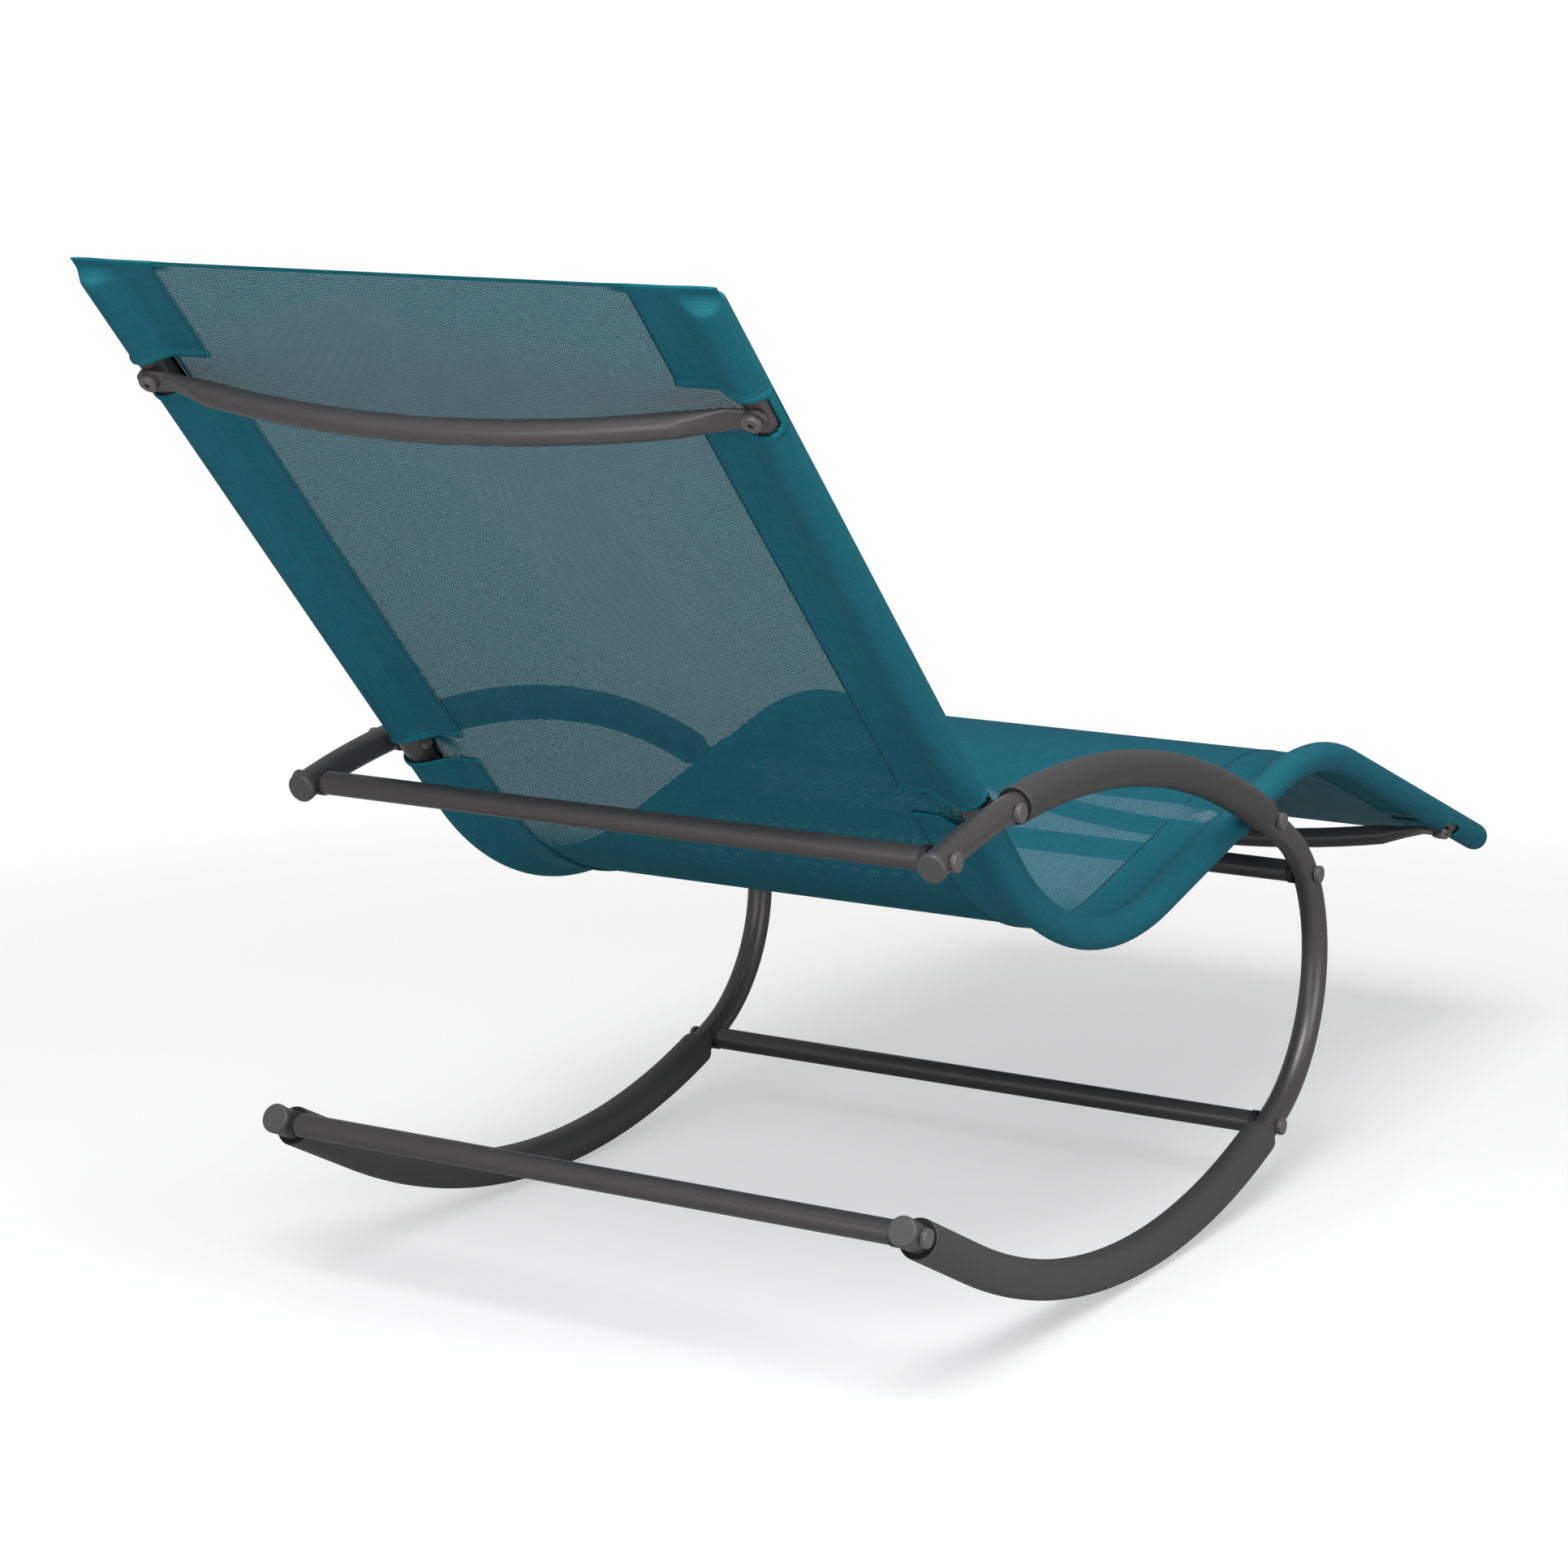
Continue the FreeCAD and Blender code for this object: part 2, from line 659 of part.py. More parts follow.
os.makedirs("parts", exist_ok=True)
write_pair("side_frame", side_frame())
write_pair("upper_tail_cap", tail_cap(frame_length, 1))
write_pair("lower_tail_cap", tail_cap(0, -1))
write_pair("armrest_sleeve", sleeve(front_bolt_distance + armrest_sleeve_short_of_front_bolt,
                                    rear_bolt_distance - armrest_sleeve_past_rear_bolt,
                                    armrest_sleeve_radius))
write_pair("rocker_sleeve", sleeve(rocker_sleeve_from_tail,
                                   lower_front_bar - rocker_sleeve_short_of_front_bar,
                                   rocker_sleeve_radius))
for name, distance in crossbar_distances.items():
    write_step(name, crossbar(distance))
write_step("crossbar_saddles", both_sides([saddle(d) for d in crossbar_distances.values()]))
write_step("crossbar_bolts", crossbar_bolts())
write_pair("seat_rail", seat_rail())
write_pair("head_rail_plug", rail_plug(0, -1))
write_pair("foot_rail_plug", rail_plug(rail_length, 1))
write_step("rail_bolts", rail_bolts())
write_step("rail_spacers", rail_spacers())
write_step("rail_nuts", rail_nuts())
write_step("head_spreader", spreader(head_spreader_on_rail))
write_step("foot_spreader", spreader(foot_spreader_on_rail))
write_step("spreader_bolts", spreader_bolts())
write_step("sling", sling())
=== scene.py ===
# Rocking chaise lounge: a mesh sling on two bent rails, slung between two bent-tube side frames
# whose lower curves are sleeved in rubber and rock on the floor. Metres, +Z up, foot end to -Y.
import bpy
import bmesh
import math
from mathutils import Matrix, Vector


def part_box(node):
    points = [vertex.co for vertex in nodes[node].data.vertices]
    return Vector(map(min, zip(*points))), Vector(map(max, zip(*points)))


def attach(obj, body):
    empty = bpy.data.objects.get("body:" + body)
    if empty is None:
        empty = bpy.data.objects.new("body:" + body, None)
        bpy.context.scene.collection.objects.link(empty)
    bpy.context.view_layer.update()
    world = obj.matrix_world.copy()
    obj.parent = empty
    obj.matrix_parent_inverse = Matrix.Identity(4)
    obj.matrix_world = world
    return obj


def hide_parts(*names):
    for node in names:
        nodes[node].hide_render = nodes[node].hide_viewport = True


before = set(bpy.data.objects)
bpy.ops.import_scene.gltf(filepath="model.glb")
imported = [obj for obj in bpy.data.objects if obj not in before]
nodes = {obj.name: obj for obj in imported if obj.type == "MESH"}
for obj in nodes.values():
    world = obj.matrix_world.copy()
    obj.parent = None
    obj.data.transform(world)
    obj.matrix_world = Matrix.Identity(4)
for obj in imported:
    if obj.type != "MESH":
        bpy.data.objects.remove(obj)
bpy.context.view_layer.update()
scene = bpy.context.scene
scene.view_settings.view_transform = "Standard"


# The viewpoint: behind the chair and to the sitter's right, at about chest height, looking a
# little down. The long lens keeps the proportions that the photograph has.
camera_data = bpy.data.cameras.new("view")
camera_data.sensor_width = 36.0
camera_data.lens = 92.29
camera_data.shift_y = -0.15
camera = bpy.data.objects.new("view", camera_data)
camera.location = (-1.8039, 3.2415, 1.1530)
camera.rotation_euler = (math.radians(81.784), 0, math.radians(210.606))
scene.collection.objects.link(camera)
scene.camera = camera


# The room: a plain white floor that fades into a white surround, with even light from all
# round, a little stronger near the horizon, and three large lamps, so the shadows stay soft.
def new_material(name):
    """An empty material with its output node, and the tree to fill."""
    made = bpy.data.materials.new(name)
    made.use_nodes = True
    made.node_tree.nodes.clear()
    output = made.node_tree.nodes.new("ShaderNodeOutputMaterial")
    return made, made.node_tree, output


def math_node(tree, operation, first, second=None):
    """A Math node whose inputs are numbers or sockets. Returns its output socket."""
    node = tree.nodes.new("ShaderNodeMath")
    node.operation = operation
    for socket, value in zip(node.inputs, (first, second)):
        if value is None:
            continue
        if isinstance(value, (int, float)):
            socket.default_value = value
        else:
            tree.links.new(value, socket)
    return node.outputs[0]


def mix_colours(tree, share, first, second):
    """A colour between two, each a plain colour or a socket. Returns its output socket."""
    node = tree.nodes.new("ShaderNodeMix")
    node.data_type = "RGBA"
    for index, value in ((0, share), (6, first), (7, second)):
        socket = node.inputs[index]
        if isinstance(value, bpy.types.NodeSocket):
            tree.links.new(value, socket)
        else:
            socket.default_value = value
    return node.outputs[2]


floor_size = 30.0
floor_bounce = 0.45
floor_seen = 0.97
floor_cool = 1.005
floor_glow = 0.45
floor_fade_from = 0.9
floor_fade_to = 2.0

bpy.ops.object.select_all(action="DESELECT")
bpy.ops.mesh.primitive_plane_add(size=floor_size, location=(0, 0, 0))
floor = bpy.context.object
floor.name = "floor"
material, tree, output = new_material("white_floor")
rays = tree.nodes.new("ShaderNodeLightPath")
place = tree.nodes.new("ShaderNodeTexCoord")
distance = tree.nodes.new("ShaderNodeVectorMath")
distance.operation = "LENGTH"
tree.links.new(place.outputs["Object"], distance.inputs[0])
fade = tree.nodes.new("ShaderNodeMapRange")
fade.interpolation_type = "SMOOTHSTEP"
fade.inputs["From Min"].default_value = floor_fade_from
fade.inputs["From Max"].default_value = floor_fade_to
fade.inputs["To Min"].default_value = floor_glow
tree.links.new(distance.outputs["Value"], fade.inputs["Value"])
matte = tree.nodes.new("ShaderNodeBsdfDiffuse")
bounce = (floor_bounce, floor_bounce, floor_bounce, 1)
seen = (floor_seen, floor_seen, floor_seen * floor_cool, 1)
colour = mix_colours(tree, rays.outputs["Is Camera Ray"], bounce, seen)
tree.links.new(colour, matte.inputs["Color"])
glow = tree.nodes.new("ShaderNodeEmission")
glow.inputs["Color"].default_value = (1, 1, 1, 1)
blend = tree.nodes.new("ShaderNodeMixShader")
share = math_node(tree, "MULTIPLY", fade.outputs[0], rays.outputs["Is Camera Ray"])
tree.links.new(share, blend.inputs[0])
tree.links.new(matte.outputs[0], blend.inputs[1])
tree.links.new(glow.outputs[0], blend.inputs[2])
tree.links.new(blend.outputs[0], output.inputs["Surface"])
floor.data.materials.append(material)

horizon_light = 0.42
overhead_light = 0.32
overhead_from = 0.75
world = bpy.data.worlds.new("surround")
world.use_nodes = True
tree = world.node_tree
tree.nodes.clear()
output = tree.nodes.new("ShaderNodeOutputWorld")
rays = tree.nodes.new("ShaderNodeLightPath")
place = tree.nodes.new("ShaderNodeTexCoord")
split = tree.nodes.new("ShaderNodeSeparateXYZ")
tree.links.new(place.outputs["Generated"], split.inputs[0])
rise = tree.nodes.new("ShaderNodeMapRange")
rise.interpolation_type = "SMOOTHSTEP"
rise.inputs["From Min"].default_value = 0.0
rise.inputs["From Max"].default_value = overhead_from
rise.inputs["To Min"].default_value = horizon_light
rise.inputs["To Max"].default_value = overhead_light
tree.links.new(split.outputs["Z"], rise.inputs["Value"])
lit = tree.nodes.new("ShaderNodeBackground")
lit.inputs["Color"].default_value = (1, 1, 1, 1)
tree.links.new(rise.outputs[0], lit.inputs["Strength"])
white = tree.nodes.new("ShaderNodeBackground")
white.inputs["Color"].default_value = (1, 1, 1, 1)
white.inputs["Strength"].default_value = 1.0
blend = tree.nodes.new("ShaderNodeMixShader")
tree.links.new(rays.outputs["Is Camera Ray"], blend.inputs[0])
tree.links.new(lit.outputs[0], blend.inputs[1])
tree.links.new(white.outputs[0], blend.inputs[2])
tree.links.new(blend.outputs[0], output.inputs["Surface"])
scene.world = world


def area_lamp(name, place, aim, size, watts):
    """A large soft lamp at place that faces aim, and that no view shows."""
    data = bpy.data.lights.new(name, "AREA")
    data.shape = "SQUARE"
    data.size = size
    data.energy = watts
    lamp = bpy.data.objects.new(name, data)
    lamp.location = place
    lamp.rotation_euler = (Vector(aim) - Vector(place)).to_track_quat("-Z", "Y").to_euler()
    lamp.visible_camera = False
    scene.collection.objects.link(lamp)


area_lamp("key", (-0.75, 2.0, 3.25), (0, -0.1, 0.3), 2.3, 139)
area_lamp("side_fill", (-3.7, 1.3, 1.0), (0, 0, 0.3), 1.8, 38)
area_lamp("rear_fill", (0.3, 3.8, 0.6), (0, 0.4, 0.5), 2.0, 26)


# The side frames: one bent steel tube each, drilled for its bolts and powder coated in a warm
# dark grey. The coat has a fine grain over a slow mottling of its tone and gloss.
grain_detail = 2.0
mottle_scale = 9.0
mottle_detail = 4.0
mottle_gloss = 0.15
grain_bump = 0.6


def powder_grain_group():
    """Colour, roughness and surface of a baked powder coat: fine grain over slow mottling."""
    group = bpy.data.node_groups.new("powder_grain", "ShaderNodeTree")
    group.interface.new_socket("Colour", in_out="INPUT", socket_type="NodeSocketColor")
    sizes = (("Grain", 900.0), ("Depth", 0.00006), ("Mottle", 0.12), ("Roughness", 0.42))
    for name, value in sizes:
        socket = group.interface.new_socket(name, in_out="INPUT", socket_type="NodeSocketFloat")
        socket.default_value = value
    for name, kind in (("Colour", "Color"), ("Roughness", "Float"), ("Normal", "Vector")):
        group.interface.new_socket(name, in_out="OUTPUT", socket_type="NodeSocket" + kind)
    given = group.nodes.new("NodeGroupInput")
    result = group.nodes.new("NodeGroupOutput")
    place = group.nodes.new("ShaderNodeTexCoord")
    grain = group.nodes.new("ShaderNodeTexNoise")
    grain.inputs["Detail"].default_value = grain_detail
    group.links.new(place.outputs["Object"], grain.inputs["Vector"])
    group.links.new(given.outputs["Grain"], grain.inputs["Scale"])
    mottle = group.nodes.new("ShaderNodeTexNoise")
    mottle.inputs["Scale"].default_value = mottle_scale
    mottle.inputs["Detail"].default_value = mottle_detail
    group.links.new(place.outputs["Object"], mottle.inputs["Vector"])
    slow = math_node(group, "SUBTRACT", mottle.outputs[0], 0.5)
    fine = math_node(group, "SUBTRACT", grain.outputs[0], 0.5)
    both = math_node(group, "ADD", slow, fine)
    swing = math_node(group, "MULTIPLY", both, given.outputs["Mottle"])
    level = math_node(group, "ADD", swing, 1.0)
    shade = group.nodes.new("ShaderNodeVectorMath")
    shade.operation = "SCALE"
    group.links.new(given.outputs["Colour"], shade.inputs[0])
    group.links.new(level, shade.inputs["Scale"])
    group.links.new(shade.outputs[0], result.inputs["Colour"])
    drift = math_node(group, "MULTIPLY", slow, mottle_gloss)
    rough = math_node(group, "ADD", drift, given.outputs["Roughness"])
    group.links.new(rough, result.inputs["Roughness"])
    bump = group.nodes.new("ShaderNodeBump")
    bump.inputs["Strength"].default_value = grain_bump
    group.links.new(grain.outputs[0], bump.inputs["Height"])
    group.links.new(given.outputs["Depth"], bump.inputs["Distance"])
    group.links.new(bump.outputs[0], result.inputs["Normal"])
    return group


powder_grain = powder_grain_group()


def grained_material(name, colour, grain, depth, mottle, roughness):
    """A coated or moulded surface. Returns the material and its shader for further settings."""
    made, tree, output = new_material(name)
    coat = tree.nodes.new("ShaderNodeGroup")
    coat.node_tree = powder_grain
    coat.inputs["Colour"].default_value = (*colour, 1)
    coat.inputs["Grain"].default_value = grain
    coat.inputs["Depth"].default_value = depth
    coat.inputs["Mottle"].default_value = mottle
    coat.inputs["Roughness"].default_value = roughness
    shader = tree.nodes.new("ShaderNodeBsdfPrincipled")
    tree.links.new(coat.outputs["Colour"], shader.inputs["Base Color"])
    tree.links.new(coat.outputs["Roughness"], shader.inputs["Roughness"])
    tree.links.new(coat.outputs["Normal"], shader.inputs["Normal"])
    tree.links.new(shader.outputs[0], output.inputs["Surface"])
    return made, shader


def give_finish(node, finish):
    """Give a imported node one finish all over."""
    node.data.materials.clear()
    node.data.materials.append(finish)


frame_grey = (0.100, 0.094, 0.095)
coat_metallic = 0.55
coat_gloss = 0.6
frame_paint, shader = grained_material("frame_paint", frame_grey, grain=1300.0, depth=0.00002,
                                       mottle=0.05, roughness=0.36)
shader.inputs["Metallic"].default_value = coat_metallic
shader.inputs["Specular IOR Level"].default_value = coat_gloss
for name in ("side_frame_left", "side_frame_right"):
    give_finish(nodes[name], frame_paint)


# The crossbars: four straight steel tubes with closed, threaded ends, given a grey slightly darker
# than the side frames'.
# The seat rails and the two bowed spreaders have the side frames' own coat.
bar_grey = (0.082, 0.077, 0.078)
bar_paint, shader = grained_material("bar_paint", bar_grey, grain=1300.0, depth=0.00002,
                                     mottle=0.05, roughness=0.34)
shader.inputs["Metallic"].default_value = coat_metallic
shader.inputs["Specular IOR Level"].default_value = coat_gloss
for name in ("crossbar_upper_rear", "crossbar_lower_rear", "crossbar_upper_front",
             "crossbar_lower_front"):
    give_finish(nodes[name], bar_paint)
for name in ("seat_rail_left", "seat_rail_right", "head_spreader", "foot_spreader"):
    give_finish(nodes[name], frame_paint)


# The caps, plugs, saddles and spacers: moulded nylon, pushed into the tube ends or held between
# the tubes by the bolts. The saddles and spacers are black, the caps and plugs dark grey.
cap_grey = (0.066, 0.065, 0.066)
saddle_black = (0.012, 0.012, 0.013)
cap_plastic, _ = grained_material("cap_plastic", cap_grey, grain=2200.0, depth=0.00003,
                                  mottle=0.06, roughness=0.46)
saddle_plastic, _ = grained_material("saddle_plastic", saddle_black, grain=2200.0,
                                     depth=0.00003, mottle=0.06, roughness=0.5)
for name in ("upper_tail_cap", "lower_tail_cap", "head_rail_plug", "foot_rail_plug"):
    for side in ("_left", "_right"):
        give_finish(nodes[name + side], cap_plastic)
for name in ("crossbar_saddles", "rail_spacers"):
    give_finish(nodes[name], saddle_plastic)


# The bolts and nuts: steel, the heads painted to match the frame. The side frames' bolts have
# plain round heads, and those through the spreaders have a hexagonal socket.
bolt_grey = (0.10, 0.092, 0.092)
bolt_finish, shader = grained_material("bolt_finish", bolt_grey, grain=2600.0, depth=0.00003,
                                       mottle=0.08, roughness=0.36)
shader.inputs["Specular IOR Level"].default_value = 0.65
for name in ("crossbar_bolts", "rail_bolts", "spreader_bolts", "rail_nuts"):
    give_finish(nodes[name], bolt_finish)


# The sleeves: thick-walled tubes pushed over the side frames. The armrest sleeve is soft foam
# with a smooth skin, the rocker sleeve is hard rubber that meets the floor. Both are cut square,
# and their end faces are given a near-black finish.
frame_low, frame_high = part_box("side_frame_left")
rocker_low, rocker_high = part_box("rocker_sleeve_left")
armrest_low, armrest_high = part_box("armrest_sleeve_left")
frame_radius = (frame_high.x - frame_low.x) / 2
frame_half_width = (frame_high.x + frame_low.x) / 2
rocker_sleeve_radius = (rocker_high.x - rocker_low.x) / 2
armrest_sleeve_radius = (armrest_high.x - armrest_low.x) / 2
tail_length = 0.128
tail_slope = 27.0
rocker_radius = 0.746
rocker_turn = 48.6
front_radius = 0.149
front_turn = 126.2
armrest_radius = 0.904
merge_within = 0.00001
sleeve_sides = 56
straight_steps = 6
steps_per_degree = 1.6
rim_segments = 4
end_plane = 0.0002
outer_skin = 0.0004
facing_out = 0.95
smooth_below = 40
armrest_wall = 0.0039
armrest_rims = (0.0026, 0.0010)
armrest_off_front_bolt = 0.017
armrest_off_rear_bolt = 0.016
rocker_wall = 0.0049
rocker_rims = (0.0012, 0.0034)
rocker_off_tail = 0.026
rocker_off_front = 0.033


def step_along(start, heading, length, turn):
    """Side-view point and heading after a straight (turn 0) or an arc that turns toward +Z."""
    h = math.radians(heading)
    if turn == 0:
        return (start[0] + length * math.cos(h), start[1] + length * math.sin(h)), heading
    reach = length / math.radians(turn)
    end = math.radians(heading + turn)
    moved = (start[0] + reach * (math.sin(end) - math.sin(h)),
             start[1] - reach * (math.cos(end) - math.cos(h)))
    return moved, heading + turn


tail_rise = math.radians(tail_slope)
tail_end_y = frame_high.y - frame_radius * math.sin(tail_rise)
tail_end_z = (rocker_sleeve_radius + rocker_radius * (1 - math.cos(tail_rise))
              + tail_length * math.sin(tail_rise))
tail_end = (tail_end_y, tail_end_z)
rocker_start, rocker_heading = step_along(tail_end, 180 + tail_slope, tail_length, 0)
rocker_length = rocker_radius * math.radians(rocker_turn)
front_start, front_heading = step_along(rocker_start, rocker_heading, rocker_length, -rocker_turn)
front_length = front_radius * math.radians(front_turn)
armrest_start, armrest_heading = step_along(front_start, front_heading, front_length, -front_turn)


def sleeve(name, x, start, heading, straight, radius, turn, outer, wall, rims):
    """A ring drawn along a straight and then round an arc, walled inward, its rims rounded."""
    bpy.ops.object.select_all(action="DESELECT")
    bpy.ops.mesh.primitive_circle_add(vertices=sleeve_sides, radius=outer, location=(x, *start),
                                      rotation=(math.radians(heading - 90), 0, 0))
    made = bpy.context.object
    made.name = name
    bpy.ops.object.transform_apply(location=True, rotation=True, scale=True)
    bpy.ops.object.mode_set(mode="EDIT")
    bpy.ops.mesh.select_all(action="SELECT")
    h = math.radians(heading)
    if straight > 0:
        stride = straight / straight_steps
        stride = (0, stride * math.cos(h), stride * math.sin(h))
        for _ in range(straight_steps):
            bpy.ops.mesh.extrude_region_move(TRANSFORM_OT_translate={"value": stride})
    bend, _ = step_along(start, heading, straight, 0)
    side = math.copysign(1, turn)
    centre = (x, bend[0] - side * radius * math.sin(h), bend[1] + side * radius * math.cos(h))
    bpy.ops.mesh.spin(steps=int(abs(turn) * steps_per_degree), angle=math.radians(-turn),
                      center=centre, axis=(1, 0, 0))
    bpy.ops.mesh.select_all(action="SELECT")
    bpy.ops.mesh.remove_doubles(threshold=merge_within)
    bpy.ops.mesh.normals_make_consistent(inside=False)
    bpy.ops.object.mode_set(mode="OBJECT")
    thick = made.modifiers.new("wall", "SOLIDIFY")
    thick.thickness = wall
    thick.offset = -1
    bpy.ops.object.modifier_apply(modifier="wall")
    end, end_heading = step_along(bend, heading, radius * math.radians(abs(turn)), turn)
    ends = ((start, heading + 180, rims[0]), (end, end_heading, rims[1]))
    for point, way, rim in ends:
        round_rim(made, Vector((x, *point)), way, outer, rim)
    for point, way, rim in ends:
        paint_end(made, Vector((x, *point)), way)
    bpy.ops.object.shade_smooth_by_angle(angle=math.radians(smooth_below))
    return made


def round_rim(made, centre, way, outer, rim):
    """Bevel the outer edge of one end of a sleeve."""
    outward = Vector((0, math.cos(math.radians(way)), math.sin(math.radians(way))))
    bpy.ops.object.mode_set(mode="EDIT")
    bpy.ops.mesh.select_mode(type="EDGE")
    bpy.ops.mesh.select_all(action="DESELECT")
    shape = bmesh.from_edit_mesh(made.data)
    for edge in shape.edges:
        at = [v.co - centre for v in edge.verts]
        if all(abs(a.dot(outward)) < end_plane and a.length > outer - outer_skin for a in at):
            edge.select = True
    bmesh.update_edit_mesh(made.data)
    bpy.ops.mesh.bevel(offset=rim, segments=rim_segments, affect="EDGES")
    bpy.ops.object.mode_set(mode="OBJECT")


def paint_end(made, centre, way):
    """Give the square-cut end of a sleeve its second finish."""
    outward = Vector((0, math.cos(math.radians(way)), math.sin(math.radians(way))))
    for face in made.data.polygons:
        at = (face.center - centre).dot(outward)
        if abs(at) < 2 * end_plane and face.normal.dot(outward) > facing_out:
            face.material_index = 1


foam_grey = (0.050, 0.048, 0.048)
# Near black for the sleeves' square-cut end faces.
sleeve_end_black = (0.006, 0.006, 0.006)
rubber_grey = (0.056, 0.054, 0.055)
foam_skin, _ = grained_material("foam_skin", foam_grey, grain=1800.0, depth=0.00004,
                                mottle=0.06, roughness=0.55)
sleeve_end_dark, _ = grained_material("sleeve_end_dark", sleeve_end_black, grain=1400.0, depth=0.00020,
                                mottle=0.3, roughness=0.9)
rubber_skin, _ = grained_material("rubber_skin", rubber_grey, grain=1500.0, depth=0.00004,
                                  mottle=0.06, roughness=0.50)
front_bolt_y = -0.1713
rear_bolt_y = 0.3641
armrest_centre_y = armrest_start[0] + armrest_radius * math.sin(math.radians(armrest_heading))
front_bolt_turn = math.degrees(math.acos((front_bolt_y - armrest_centre_y) / armrest_radius))
rear_bolt_turn = math.degrees(math.acos((rear_bolt_y - armrest_centre_y) / armrest_radius))
front_gap = math.degrees(armrest_off_front_bolt / armrest_radius)
rear_gap = math.degrees(armrest_off_rear_bolt / armrest_radius)
armrest_from = 90 + armrest_heading - front_bolt_turn + front_gap
armrest_to = 90 + armrest_heading - rear_bolt_turn - rear_gap
rocker_to = math.degrees((rocker_length - rocker_off_front) / rocker_radius)
for side, x in (("_left", frame_half_width), ("_right", -frame_half_width)):
    arm_point, arm_heading = step_along(armrest_start, armrest_heading,
                                        armrest_radius * math.radians(armrest_from), -armrest_from)
    rest = sleeve("armrest_foam" + side, x, arm_point, arm_heading, 0, armrest_radius,
                  armrest_from - armrest_to, armrest_sleeve_radius, armrest_wall, armrest_rims)
    rest.data.materials.append(foam_skin)
    rest.data.materials.append(sleeve_end_dark)
    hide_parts("armrest_sleeve" + side)
    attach(rest, "root")
    heel, heel_heading = step_along(tail_end, 180 + tail_slope, rocker_off_tail, 0)
    runner = sleeve("rocker_rubber" + side, x, heel, heel_heading, tail_length - rocker_off_tail,
                    rocker_radius, -rocker_to, rocker_sleeve_radius, rocker_wall, rocker_rims)
    runner.data.materials.append(rubber_skin)
    runner.data.materials.append(sleeve_end_dark)
    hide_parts("rocker_sleeve" + side)
    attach(runner, "root")


# The sling: one length of coated polyester mesh. Each long edge is turned back round its rail
# and sewn down to make a hem, and the hem is notched where bolts and spreaders reach the rail.
rail_low, rail_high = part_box("seat_rail_left")
rail_radius = (rail_high.x - rail_low.x) / 2
rail_half_width = (rail_high.x + rail_low.x) / 2
back_slope = 46.9
back_length = 0.690
seat_radius = 0.308
seat_turn = 60.8
thigh_length = 0.265
knee_radius = 0.298
knee_turn = 35.6
calf_length = 0.381
back_rise = math.radians(back_slope)
rail_head = (rail_high.y - rail_radius * math.sin(back_rise),
             rail_high.z - rail_radius * math.cos(back_rise))
rail_pieces = ((back_length, 0), (seat_radius * math.radians(seat_turn), -seat_turn),
               (thigh_length, 0), (knee_radius * math.radians(knee_turn), knee_turn),
               (calf_length, 0))
rail_length = sum(length for length, turn in rail_pieces)

hem_width = 0.064
hem_pressed_share = 0.5
pressed_at_bolt = 0.2
pressed_less_from = 0.006
pressed_less_to = 0.024
mesh_half = 0.00010
hem_half = 0.0006
hem_thick_from = 0.75
hem_thick_rise = 0.002
cloth_round_rail = rail_radius + 0.0013
turned_layer = 0.00130
past_head = 0.022
past_foot = 0.014
flat_end = 0.0060
flat_end_rise = 0.0135
flat_end_half = 0.0007
flat_end_past_rail = 0.0150
head_thick_to = 0.004
head_thin_from = 0.011
seam = rail_half_width - hem_width
wrap_at = seam + hem_width
wrap_length = math.pi * cloth_round_rail
cloth_edge = seam + 2 * hem_width + wrap_length

# The notches in the hems, by distance along the rail, length, how far round the rail they go,
# and how far the edge toward the head slants away at the seam.
head_spreader_at = 0.1055
rear_bolt_at = 0.6060
front_bolt_at = 1.2013
foot_spreader_at = rail_length - 0.0980
spreader_notch = 0.040
bolt_notch = 0.030
spreader_notch_from = 0.0025
bolt_notch_from = -0.0100
notch_corner = 0.008
notch_corner_across = 0.016
bolt_notch_slant = 0.010
notches = ((head_spreader_at, spreader_notch, spreader_notch_from, 0),
           (rear_bolt_at, bolt_notch, bolt_notch_from, bolt_notch_slant),
           (front_bolt_at, bolt_notch, bolt_notch_from, bolt_notch_slant),
           (foot_spreader_at, spreader_notch, spreader_notch_from, 0))
corner_steps = 6
past_cut = 0.01
rolled_rise = 0.0017
rolled_width = 0.0046
rolled_slope = 0.0015


def on_rail(distance):
    """Side-view point and heading at a distance along the rail, run on straight past its ends."""
    point, heading = rail_head, 180 + back_slope
    left = distance
    for length, turn in rail_pieces[:-1]:
        if left <= length:
            return step_along(point, heading, left, turn * left / length)
        point, heading = step_along(point, heading, length, turn)
        left -= length
    return step_along(point, heading, left, 0)


def ease(low, high, value):
    """0 below low, 1 above high and smooth between."""
    t = min(max((value - low) / (high - low), 0), 1)
    return t * t * (3 - 2 * t)


def dome(low, high, value):
    """A quarter circle's rise from 0 at low to 1 at high."""
    t = min(max((value - low) / (high - low), 0), 1)
    return math.sqrt(1 - (1 - t) ** 2)


def notch_start(rise):
    """Distance across the flat cut where the hem, going round the rail, reaches a height."""
    return wrap_at + wrap_length * (0.5 + math.asin(rise / cloth_round_rail) / math.pi)


def off_notch(across, distance):
    """How far a point of the flat cut is from the nearest notch; negative inside it."""
    nearest = 1.0
    for middle, length, rise, slant in notches:
        inside_x = notch_start(rise) + notch_corner_across - abs(across)
        slanted = slant * min(max(-inside_x / (cloth_edge - notch_start(rise)), 0), 1)
        inside_x *= notch_corner / notch_corner_across
        inside_y = max(middle - slanted - distance, distance - middle) - length / 2 + notch_corner
        reach = math.hypot(max(inside_x, 0), max(inside_y, 0)) + min(max(inside_x, inside_y), 0)
        nearest = min(nearest, reach - notch_corner)
    return nearest


